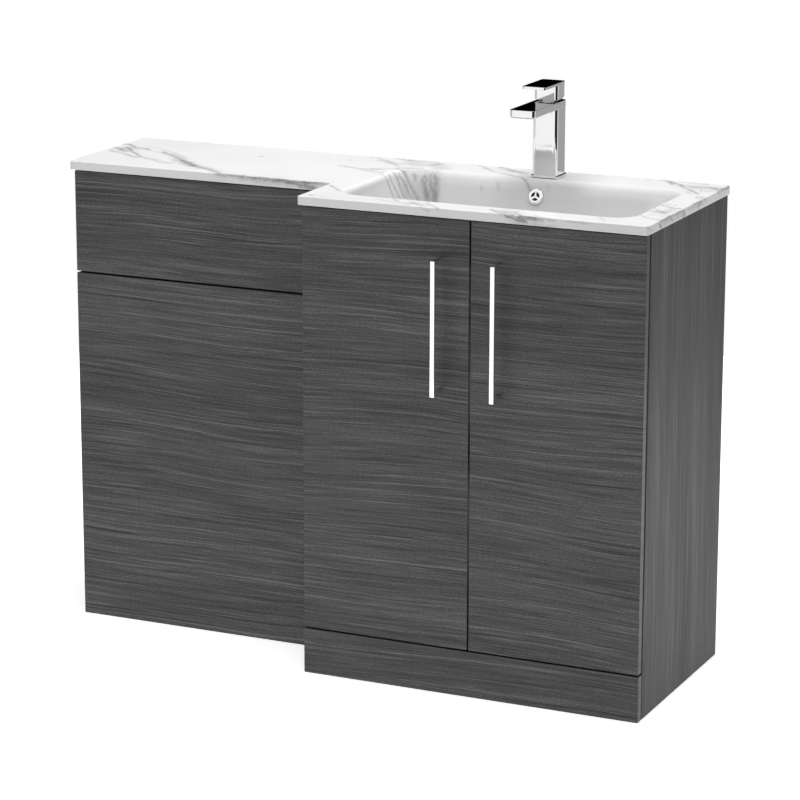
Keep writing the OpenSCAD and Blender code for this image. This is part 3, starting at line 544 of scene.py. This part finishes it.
def arc_ring(cx, cy, w, d, r, n=6):
    """Rounded rectangle in plan, counter-clockwise from the +x side."""
    out = []
    for c in range(4):
        sx, sy = (1, -1, -1, 1)[c], (1, 1, -1, -1)[c]
        for k in range(n + 1):
            a = math.radians(c * 90 + 90 * k / n)
            out.append((cx + sx * (w / 2 - r) + r * math.cos(a), cy + sy * (d / 2 - r) + r * math.sin(a)))
    return out


def edge_steps(z0, z1, e0, e1, n=4):
    """(z, inset) rings of a prism with rounded lower and upper edges."""
    out = []
    for k in range(n + 1):
        a = math.radians(90 * k / n)
        out.append((z0 + e0 * (1 - math.cos(a)), e0 * (1 - math.sin(a))))
    for k in range(n + 1):
        a = math.radians(90 * k / n)
        out.append((z1 - e1 * (1 - math.sin(a)), e1 * (1 - math.cos(a))))
    return out


def prism(name, cx, cy, w, d, r, z0, z1, e0=0.5, e1=0.5, n=6, m=4):
    rings = []
    for z, i in edge_steps(z0, z1, e0, e1, m):
        rings.append([(x, y, z) for x, y in arc_ring(cx, cy, w - 2 * i, d - 2 * i, max(r - i, 0.15), n)])
    return build(name, *loft(rings))


def cylinder(name, a, b, r, n=64):
    """Closed cylinder between two points in cabinet millimetres."""
    a, b = Vector(a), Vector(b)
    ax = (b - a).normalized()
    s = ax.orthogonal().normalized()
    q = ax.cross(s)
    rings = [[tuple(c + s * (r * math.cos(2 * math.pi * k / n)) + q * (r * math.sin(2 * math.pi * k / n))) for k in range(n)]
             for c in (a, b)]
    return build(name, *loft(rings))


def block(name, x0, x1, y0, y1, z0, z1):
    v = [(x, y, z) for z in (z0, z1) for x, y in ((x0, y0), (x1, y0), (x1, y1), (x0, y1))]
    return build(name, v, [(0, 1, 2, 3), (4, 5, 6, 7), (0, 1, 5, 4), (1, 2, 6, 5), (2, 3, 7, 6), (3, 0, 4, 7)])


def boolean(o, cutters, op="DIFFERENCE"):
    for c in cutters:
        mod = o.modifiers.new("b", "BOOLEAN")
        mod.operation, mod.solver, mod.object = op, "EXACT", c
        bpy.context.view_layer.update()
        me = bpy.data.meshes.new_from_object(o.evaluated_get(bpy.context.evaluated_depsgraph_get()))
        old = o.data
        o.modifiers.clear()
        o.data = me
        bpy.data.meshes.remove(old)
        bpy.data.objects.remove(c)
    return o


def tidy(o, dist=2e-6):
    b = bmesh.new()
    b.from_mesh(o.data)
    bmesh.ops.remove_doubles(b, verts=b.verts, dist=dist)
    bmesh.ops.dissolve_degenerate(b, edges=b.edges, dist=1e-7)
    bmesh.ops.recalc_face_normals(b, faces=b.faces)
    open_edges = sum(1 for e in b.edges if not e.is_manifold)
    if open_edges:
        print("OPEN EDGES", o.name, open_edges, [tuple(round(c * 1000, 2) for v in e.verts for c in v.co) for e in b.edges if not e.is_manifold][:6])
    b.to_mesh(o.data)
    b.free()
    return o


def place(o, body, mats, node=None, angle=35.0):
    for m in mats:
        o.data.materials.append(m)
    finish_mesh(o, angle)
    if node:
        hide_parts(node)
    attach(o, body)
    return o


BODY = {n: b for b, ns in frame["record"]["behaviour"]["bodies"].items() for n in ns}


def softened(node, mat, e=0.7):
    """The board of a CAD node with its drillings, and its outer edges slightly rounded."""
    b = bmesh.new()
    b.from_mesh(nodes[node].data)
    bmesh.ops.remove_doubles(b, verts=b.verts, dist=2e-6)
    bmesh.ops.dissolve_limit(b, angle_limit=math.radians(0.5), verts=b.verts, edges=b.edges)
    lo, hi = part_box(node)
    def sides(v):
        return {(i, s) for i in range(3) for s, c in ((0, lo[i]), (1, hi[i])) if abs(v.co[i] - c) < 2e-6}
    edges = [d for d in b.edges if len(sides(d.verts[0]) & sides(d.verts[1])) == 2]
    bmesh.ops.bevel(b, geom=edges, offset=e / 1000, offset_type="OFFSET", segments=3, profile=0.5, affect="EDGES",
                    clamp_overlap=True)
    for f in b.faces:
        f.material_index = 0
    bmesh.ops.recalc_face_normals(b, faces=b.faces)
    o = from_bm(node + "_board", b)
    return place(o, BODY[node], [mat], node)


# ------------------------------------------------------------------ boards
for n, m in {**FRONT, **SIDES_PAINTED_LIGHTER}.items():
    softened(n, m)
for n in ("wc_middle_rail", "wc_wall_rail", "vanity_front_rail", "vanity_wall_rail"):
    softened(n, INNER_XZ, 0.5)
for n in ("wc_top_rail", "vanity_base", "shelf"):
    softened(n, INNER_XY, 0.5)

# ------------------------------------------------------------------ top with the cast basin
TOP, UNDER = 818.0, 803.0
BX0, BX1, BY0, BY1, BR, DEPTH, FIL, WALL = 538.0, 1062.0, 36.0, 306.0, 45.0, 108.0, 30.0, 9.0
RIM_S, RIM_R, RIM_F = 14.0, 32.0, 5.0
SL_S, SL_R, SL_F = math.radians(25), math.radians(20), math.radians(14)


def w_0(R, a):
    return R * math.cos(a) - R * (1 - math.sin(a)) * math.tan(a)


def w_c(R, a):
    return w_0(R, a) + (DEPTH - FIL * (1 - math.sin(a))) * math.tan(a) + FIL * math.cos(a)


def wall_in(R, a, d):
    if d <= 0:
        return 0.0
    if d < R * (1 - math.sin(a)):
        return math.sqrt(R * R - (R - d) ** 2)
    if d <= DEPTH - FIL * (1 - math.sin(a)):
        return w_0(R, a) + d * math.tan(a)
    return w_c(R, a) - math.sqrt(max(0.0, FIL * FIL - (d - DEPTH + FIL) ** 2))


def wall_out(R, a, d):
    if d <= DEPTH - FIL + (FIL + WALL) * math.sin(a):
        return w_0(R, a) - WALL / math.cos(a) + d * math.tan(a)
    return w_c(R, a) - math.sqrt(max(0.0, (FIL + WALL) ** 2 - (d - DEPTH + FIL) ** 2))


def bowl_ring(fn, d, k=14, s=10):
    a, b, f = fn(RIM_S, SL_S, d), fn(RIM_R, SL_R, d), fn(RIM_F, SL_F, d)
    x0, x1, y0, y1, r = BX0 + a, BX1 - a, BY0 + f, BY1 - b, BR
    cs = [(x1 - r, y1 - r), (x0 + r, y1 - r), (x0 + r, y0 + r), (x1 - r, y0 + r)]
    out = []
    for c, (cx, cy) in enumerate(cs):
        for i in range(k + 1):
            t = math.radians(c * 90 + 90 * i / k)
            out.append((cx + r * math.cos(t), cy + r * math.sin(t)))
        nx, ny = cs[(c + 1) % 4]
        t = math.radians(c * 90 + 90)
        p, q = out[-1], (nx + r * math.cos(t), ny + r * math.sin(t))
        out += [(p[0] + (q[0] - p[0]) * j / s, p[1] + (q[1] - p[1]) * j / s) for j in range(1, s)]
    return [(x, y, TOP - d) for x, y in out]


def to_circle(ring, cx, cy, r, z, t):
    """Blend of a bowl ring and a circle about the waste, by the points' own bearings."""
    out = []
    for x, y, zz in ring:
        a = math.atan2(y - cy, x - cx)
        out.append((x + (cx + r * math.cos(a) - x) * t, y + (cy + r * math.sin(a) - y) * t, zz + (z - zz) * t))
    return out


def worktop():
    verts, faces, tags = [], [], []
    def add(vs, fs, tag):
        k = len(verts)
        verts.extend(vs)
        faces.extend(tuple(i + k for i in f) for f in fs)
        tags.extend([tag] * len(fs))
    corner = [(-3.5, 117, 1), (496.5, 117, -1), (496.5, -8, 1), (1103.5, -8, 1), (1103.5, 380, 1), (-3.5, 380, 1)]
    def outline(inset, r=2.5, k=5):
        out = []
        n = len(corner)
        for i, (x, y, conv) in enumerate(corner):
            p, q = corner[i - 1], corner[(i + 1) % n]
            a = Vector((p[0] - x, p[1] - y)).normalized()
            b = Vector((q[0] - x, q[1] - y)).normalized()
            rr = max(r - inset, 0.3) if conv == 1 else r + inset
            c = Vector((x, y)) + (a + b) * (rr + inset if conv == 1 else rr - inset)
            s = -b
            e = -a
            for j in range(k + 1):
                w = math.radians(90 * j / k)
                out.append((c + (s * math.cos(w) + e * math.sin(w)) * rr)[:])
        return out
    steps = edge_steps(UNDER, TOP, 0.9, 1.3, 4)
    rings = [[(x, y, z) for x, y in outline(i)] for z, i in steps]
    vs, fs = loft(rings, (False, False))
    add(vs, fs, 1)
    hole = [(800 + 17.5 * math.cos(2 * math.pi * j / 48), 329 + 17.5 * math.sin(2 * math.pi * j / 48)) for j in range(48)]
    inner = [0, 0.05, 0.2, 0.45, 0.8, 1.3, 2.0, 2.9, 4.0, 5.4, 7.0, 9.0, 11.5, 14.5, 18.0, 22, 30, 42, 54, 66, 76, 82, 86, 89, 92, 94.5,
             97, 99.2, 101.2, 103, 104.6, 105.9, 106.9, 107.6, 108.0]
    rs = [bowl_ring(wall_in, d) for d in inner]
    last = rs[-1]
    for t in (0.12, 0.25, 0.4, 0.55, 0.7, 0.82, 0.92, 1.0):
        rs.append(to_circle(last, 800, 185, 34, 707, t))
    wz = [(34, 707), (33.5, 706.9), (33.1, 706.6), (33, 706.2), (33, 704), (23, 704), (23, 701)]
    for r, z in wz[1:]:
        rs.append(to_circle(last, 800, 185, r, z, 1.0))
    vs, fs = loft(rs, (False, False))
    add(vs, fs, 0)
    ro = [bowl_ring(wall_out, d) for d in (15, 30, 50, 70, 80, 86, 92, 97, 101, 105, 108.5, 111.5, 114, 115.8, 116.7, 117)]
    lo = ro[-1]
    for t in (0.3, 0.7, 1.0):
        ro.append(to_circle(lo, 800, 185, 23, 701, t))
    vs, fs = loft(ro, (False, False))
    add(vs, fs, 2)
    n = 48
    add([(x, y, z) for z in (TOP, UNDER) for x, y in hole], [(j, (j + 1) % n, n + (j + 1) % n, n + j) for j in range(n)], 2)
    o = build("worktop_cast", verts, faces, tags)
    b = bmesh.new()
    b.from_mesh(o.data)
    for z, tag in ((TOP, 0), (UNDER, 2)):
        rim = [e for e in b.edges if e.is_boundary and all(abs(v.co.z - z / 1000) < 1e-6 for v in e.verts)]
        for f in bmesh.ops.triangle_fill(b, use_beauty=True, edges=rim)["geom"]:
            if isinstance(f, bmesh.types.BMFace):
                f.material_index = tag
    b.to_mesh(o.data)
    b.free()
    tidy(o)
    def duct(pts, w, nm):
        v = [(800 + s * w / 2, y, z) for s in (-1, 1) for y, z in pts]
        k = len(pts)
        f = [tuple(range(k)), tuple(range(k, 2 * k))] + [(i, (i + 1) % k, k + (i + 1) % k, k + i) for i in range(k)]
        d = build(nm, v, f, [2] * len(f))
        return d
    outer = duct([(304, 803.5), (277, 721), (246, 684), (148, 684), (148, 705), (228, 705), (262, 745), (283, 803.5)], 60, "d1")
    cavity = duct([(299, 803.2), (271.5, 724), (242.5, 690), (154, 690), (154, 704), (226, 704), (261, 744), (282.5, 803.2)], 46, "d2")
    for m in (MARBLE, MARBLE_EDGE, CAST):
        o.data.materials.append(m)
        outer.data.materials.append(m)
        cavity.data.materials.append(m)
    boolean(outer, [cavity])
    cy, cz = BY1 - wall_in(RIM_R, SL_R, 25.5), TOP - 25.5
    ax = Vector((0, -math.cos(SL_R), math.sin(SL_R)))
    c = Vector((800, cy, cz))
    hole_o = cylinder("h", tuple(c - ax * 15.5), tuple(c + ax * 6.5), 11, 64)
    bore = cylinder("w", (800, 185, 683), (800, 185, 705), 23, 96)
    for x in (hole_o, bore):
        for m in (MARBLE, MARBLE_EDGE, CAST):
            x.data.materials.append(m)
        for p in x.data.polygons:
            p.material_index = 2
    boolean(o, [outer], "UNION")
    boolean(o, [hole_o, bore])
    tidy(o)
    return place(o, BODY["worktop_basin"], [], "worktop_basin", 32.0)


worktop()

# ------------------------------------------------------------------ tap
TX, TY, TT = 800.0, 329.0, 947.0


def tap():
    slab = prism("tap_skin", TX, (206 + 351.5) / 2, 45, 145.5, 7.5, TT - 13.5, TT, 3.4, 0.5, 12, 8)
    column = prism("c", TX, TY, 44.6, 44.6, 7.5, 822 - 0.8, TT - 8.9, 0.2, 0.01, 12, 2)
    foot = prism("f", TX, TY, 48.6, 48.6, 6.5, 819, 822.6, 0.3, 0.8, 10, 4)
    arc = [(301 + 6 * math.cos(math.radians(a)), TT - 19.5 + 6 * math.sin(math.radians(a))) for a in range(90, -1, -9)]
    fil = [(309, TT - 19.5), (309, TT - 12.5), (301, TT - 12.5)] + arc
    k = len(fil)
    v = [(TX + s, y, z) for s in (-13.5, 13.5) for y, z in fil]
    fillet = build("f", v, [tuple(range(k)), tuple(range(k, 2 * k))] + [(i, (i + 1) % k, k + (i + 1) % k, k + i) for i in range(k)])
    boolean(slab, [column, foot, fillet], "UNION")
    cuts = [cylinder("k", (TX, TY, TT - 42), (TX, TY, TT + 1), 17.7, 96),
            cylinder("k", (TX, 223, TT - 14.5), (TX, 223, TT - 5), 11, 64)]
    cuts += [cylinder("k", (TX + s, TY - 4, 818), (TX + s, TY - 4, 837), 4.5, 48) for s in (-8, 8)]
    cuts += [cylinder("k", (TX, TY + 9, 818), (TX, TY + 9, 836), 3.05, 32)]
    boolean(slab, cuts)
    tidy(slab)
    place(slab, BODY["tap_body"], [CHROME], "tap_body", 30.0)


def lever():
    plate = prism("lever_skin", TX, (257 + 348) / 2, 42, 91, 5, TT + 27.4, TT + 32, 0.5, 0.45, 10, 4)
    hub = prism("h", TX, TY, 42, 38, 6.5, TT + 3, TT + 27.9, 0.5, 0.01, 12, 3)
    boolean(plate, [hub], "UNION")
    wedge = [(TY + 4.2, TT + 2.5), (TY + 24, TT + 2.5), (TY + 24, TT + 9.98), (TY + 4.2, TT + 2.9)]
    v = [(TX + s, y, z) for s in (-30, 30) for y, z in wedge]
    w = build("w", v, [(0, 1, 2, 3), (4, 5, 6, 7), (0, 1, 5, 4), (1, 2, 6, 5), (2, 3, 7, 6), (3, 0, 4, 7)])
    cuts = [w, cylinder("k", (TX, TY, TT + 2), (TX, TY, TT + 13), 16.5, 96),
            block("k", TX - 4.05, TX + 4.05, TY - 4.05, TY + 4.05, TT + 12, TT + 19.5),
            cylinder("k", (TX, TY + 3, TT + 16), (TX, TY + 20, TT + 16), 2.55, 32)]
    boolean(plate, cuts)
    tidy(plate)
    place(plate, BODY["tap_lever"], [CHROME], "tap_lever", 30.0)


tap()
lever()

# ------------------------------------------------------------------ handles
for side, hx in (("left", 748.0), ("right", 852.0)):
    bar = prism("handle_bar_" + side, hx, -29, 8, 6, 0.8, 512, 736, 0.7, 0.7, 3, 3)
    legs = []
    for z in (512.0, 728.0):
        v = []
        rings = []
        for y, i in edge_steps(-28, 0, 0.05, 0.05, 1):
            rings.append([(x, y, zz) for x, zz in arc_ring(hx, z + 4, 8 - 2 * i, 8 - 2 * i, 0.8, 3)])
        legs.append(build("l", *loft(rings)))
    boolean(bar, legs, "UNION")
    boolean(bar, [cylinder("k", (hx, -14, z), (hx, 1, z), 2.05, 32) for z in (516, 732)])
    tidy(bar)
    place(bar, BODY["handle_" + side], [CHROME], "handle_" + side, 30.0)


# ------------------------------------------------------------------ waste plug
def lathe(name, cx, cy, prof, n=96):
    rings = [[(cx + r * math.cos(2 * math.pi * k / n), cy + r * math.sin(2 * math.pi * k / n), z) for k in range(n)] for r, z in prof]
    v, f = loft(rings, (prof[0][0] > 0.01, prof[-1][0] > 0.01))
    return build(name, v, f)


wz = 707.0
prof = [(4, 652), (4, wz + 0.2), (30.6, wz + 0.2), (30.9, wz + 0.35), (31, wz + 0.6), (31, wz + 1.9), (30.9, wz + 2.3)]
prof += [(31 * math.cos(math.radians(a)) if a else 30.7, wz + 2.4 + 2.2 * math.sin(math.radians(a)) ** 1.0) for a in range(6, 90, 7)]
prof += [(0.0, wz + 4.6)]
plug = lathe("plug_dome", 800, 185, prof)
tidy(plug)
place(plug, BODY["waste_plug"], [CHROME], "waste_plug", 30.0)

# ------------------------------------------------------------------ overflow trim, a dished ring with three openings
OVF = Vector((800.0, 274.31, 792.5))
OVF_N = Vector((0.0, -math.cos(math.radians(20)), math.sin(math.radians(20))))
OVF_U = Vector((0.0, math.sin(math.radians(20)), math.cos(math.radians(20))))


def ovf(x, y, h):
    return tuple(OVF + Vector((x, 0, 0)) + OVF_U * y + OVF_N * h)


inner = [(0.0, 1.9), (4.0, 1.9), (7.5, 1.9), (9.0, 1.9)]
prof = inner + [(9.0, -9.0), (10.7, -9.0), (10.7, 0.2), (14.0, 0.2), (14.2, 0.35)]
r, h = 14.2, 0.6
prof.append((r, h))
for dr, tilt in [(0.08, 80), (0.14, 72), (0.22, 63), (0.30, 54), (0.38, 45), (0.42, 36), (0.45, 27), (0.5, 18), (0.6, 9), (0.8, 2), (1.0, -2),
                 (1.3, -3), (1.7, -3.5), (2.0, -3), (1.5, -2), (1.4, -1.5), (1.41, -1)]:
    r, h = max(0.0, r - dr), h + dr * math.tan(math.radians(tilt))
    prof.append((r, h))
prof[-1] = (0.0, prof[-1][1])
v, f = loft([[ovf(r * math.cos(2 * math.pi * k / 120), r * math.sin(2 * math.pi * k / 120), h) for k in range(120)] for r, h in prof], (False, False))
trim = build("overflow_ring", v, f)
tidy(trim)
cutters = []
for a in (30, 150, 270):
    half, off, R = math.radians(59.0), 1.8, 7.5
    reach = -off * math.cos(half) + math.sqrt(R * R - (off * math.sin(half)) ** 2)     # along a wedge side to the arc
    ends = [(off + reach * math.cos(q), reach * math.sin(q)) for q in (-half, half)]
    t0, t1 = (math.atan2(e[1], e[0]) for e in ends)
    out = [(off + 0.5 * math.cos(-half), 0.5 * math.sin(-half))]
    out += [(off + (reach - 0.7) * math.cos(-half), (reach - 0.7) * math.sin(-half))]
    out += [(R * math.cos(t0 + 0.09 + (t1 - t0 - 0.18) * i / 16), R * math.sin(t0 + 0.09 + (t1 - t0 - 0.18) * i / 16)) for i in range(17)]
    out += [(off + (reach - 0.7) * math.cos(half), (reach - 0.7) * math.sin(half)), (off + 0.5 * math.cos(half), 0.5 * math.sin(half))]
    ca, sa = math.cos(math.radians(a)), math.sin(math.radians(a))
    cutters.append(build("k", *loft([[ovf(x * ca - y * sa, x * sa + y * ca, h) for x, y in out] for h in (0.4, 9.0)])))
boolean(trim, cutters)
tidy(trim)
place(trim, BODY["overflow_trim"], [CHROME, BLACK_RUBBER_AND_HOLE_SHADE], "overflow_trim", 30.0)
# painted shadow: the floor and lower walls of the three openings get the black material, standing in for the dark hole
# behind them
o0, u0, n0 = Vector(P(*OVF)), OVF_U, OVF_N
for q in trim.data.polygons:
    c = (q.center - o0) * 1000
    h = c.dot(n0)
    r = (c - n0 * h).length
    lim = next((ha + (hb - ha) * (r - ra) / (rb - ra) for (ra, ha), (rb, hb) in zip(inner, inner[1:]) if ra <= r <= rb), 1.9)
    if r < 9.05 and h < lim + 0.05:
        q.material_index = 1

# ------------------------------------------------------------------ CAD nodes that stay
FINISH = {
    CHROME: "waste_body tap_collar tap_aerator",
    STEEL: "angle_brackets shelf_pins handle_screws_left handle_screws_right hinge_cups_left hinge_cups_right hinge_arms "
           "hinge_plates hinge_pins cam_locks cam_dowels unit_connectors wood_screws lever_screw tap_clamp_plate",
    BRASS: "backnuts cartridge_stem tap_stud",
    WHITE: "panel_studs fill_valve flush_valve flush_pipe plastic_nuts trap_body trap_cup tap_cartridge cartridge_spindle",
    CREAM: "cistern_tank cistern_lid",
    BLUE: "fill_float",
    RED: "flush_plunger",
    BLACK_RUBBER_AND_HOLE_SHADE: "waste_washer tap_gasket",
    BUFFER: "door_buffers",
}
for m, names in FINISH.items():
    for n in names.split():
        for s in nodes[n].material_slots:
            s.link = "DATA"
            s.material = m

# ------------------------------------------------------------------ stage, light and camera
m, t = new_mat("floor")
n = t.noise(t.obj(), 3.0, 2.0, 0.5)
far = t.remap(t.vec("LENGTH", t.obj()), 1.0, 2.1, 0.53, 0.95, True)
t.shader(t.ramp(n, [(0.3, 0.955), (0.7, 0.965)]), 0.9, Specular_IOR_Level=0.1, Emission_Color=(1, 1, 1, 1))
t.put(t.t.nodes["Principled BSDF"].inputs["Emission Strength"], far)
b = bmesh.new()
bmesh.ops.create_circle(b, cap_ends=True, radius=2.3, segments=128)
floor = from_bm("floor", b)
floor.location.z = -0.0005
floor.data.materials.append(m)

world = bpy.data.worlds.new("studio")
scene.world = world
t = Tree(world)
d = t.sep(t.node("ShaderNodeTexCoord").outputs["Generated"])
az = t.math("MULTIPLY", t.math("ARCTAN2", d[0], t.math("MULTIPLY", d[1], -1.0)), 180 / math.pi)  # 0 front, 90 right
absaz = t.math("ABSOLUTE", az)
up_front = t.math("MULTIPLY", t.remap(absaz, 70.0, 100.0, 1.0, 0.002, True), t.remap(d[2], 0.325, 0.375, 0.40, 1.0, True))
up_front = t.math("MAXIMUM", up_front, t.remap(d[2], 0.55, 0.85, 0.0, 0.8, True))
flank = t.remap(az, -10.0, 10.0, 0.50, 0.02)
low = t.math("MAXIMUM", t.remap(absaz, 36.0, 42.0, 1.0, flank, True), t.remap(absaz, 112.0, 120.0, 0.0, 0.9, True))
low = t.math("MINIMUM", low, t.remap(absaz, 138.0, 146.0, 1.0, 0.38, True))
low = t.math("MULTIPLY", low, t.remap(d[2], -0.20, -0.185, 1.2, 1.0))
gloss = t.mix(t.remap(d[2], -0.02, 0.02, 0.0, 1.0, True), low, up_front)
path = t.node("ShaderNodeLightPath")
light = t.mix(path.outputs["Is Glossy Ray"], (0.05, 0.05, 0.05), gloss)
light = t.mix(path.outputs["Is Camera Ray"], light, (1.0, 1.0, 1.0))
bg = t.node("ShaderNodeBackground")
t.put(bg.inputs["Color"], light)
out = t.node("ShaderNodeOutputWorld")
t.t.links.new(bg.outputs[0], out.inputs[0])


def area(name, loc, aim, size, power):
    l = bpy.data.lights.new(name, "AREA")
    l.shape, l.size, l.energy = "SQUARE", size, power
    o = bpy.data.objects.new(name, l)
    o.location = loc
    o.rotation_euler = (Vector(aim) - Vector(loc)).to_track_quat("-Z", "Y").to_euler()
    scene.collection.objects.link(o)
    o.visible_camera = False
    o.visible_glossy = False
    return o


area("top", (0.1, -0.2, 3.4), (0.1, 0, 0.5), 2.6, 103)
area("key", (-2.6, -3.4, 2.4), (0.1, 0, 0.5), 1.1, 35)
area("rim", (2.4, 2.6, 2.2), (0.1, 0, 0.5), 1.6, 48)

cam = bpy.data.cameras.new("camera")
cam.lens, cam.sensor_width, cam.clip_end = 143.44, 36.0, 100.0
co = bpy.data.objects.new("camera", cam)
right = Vector((0.9084531, 0.41798411, 0.00149898))
up = Vector((-0.1047517, 0.22419428, 0.96889835))
fwd = Vector((-0.40464805, 0.88035573, -0.24745454))
co.matrix_world = Matrix(((right.x, up.x, -fwd.x, 2.22914), (right.y, up.y, -fwd.y, -4.74683),
                          (right.z, up.z, -fwd.z, 1.77853), (0, 0, 0, 1)))
scene.collection.objects.link(co)
scene.camera = co
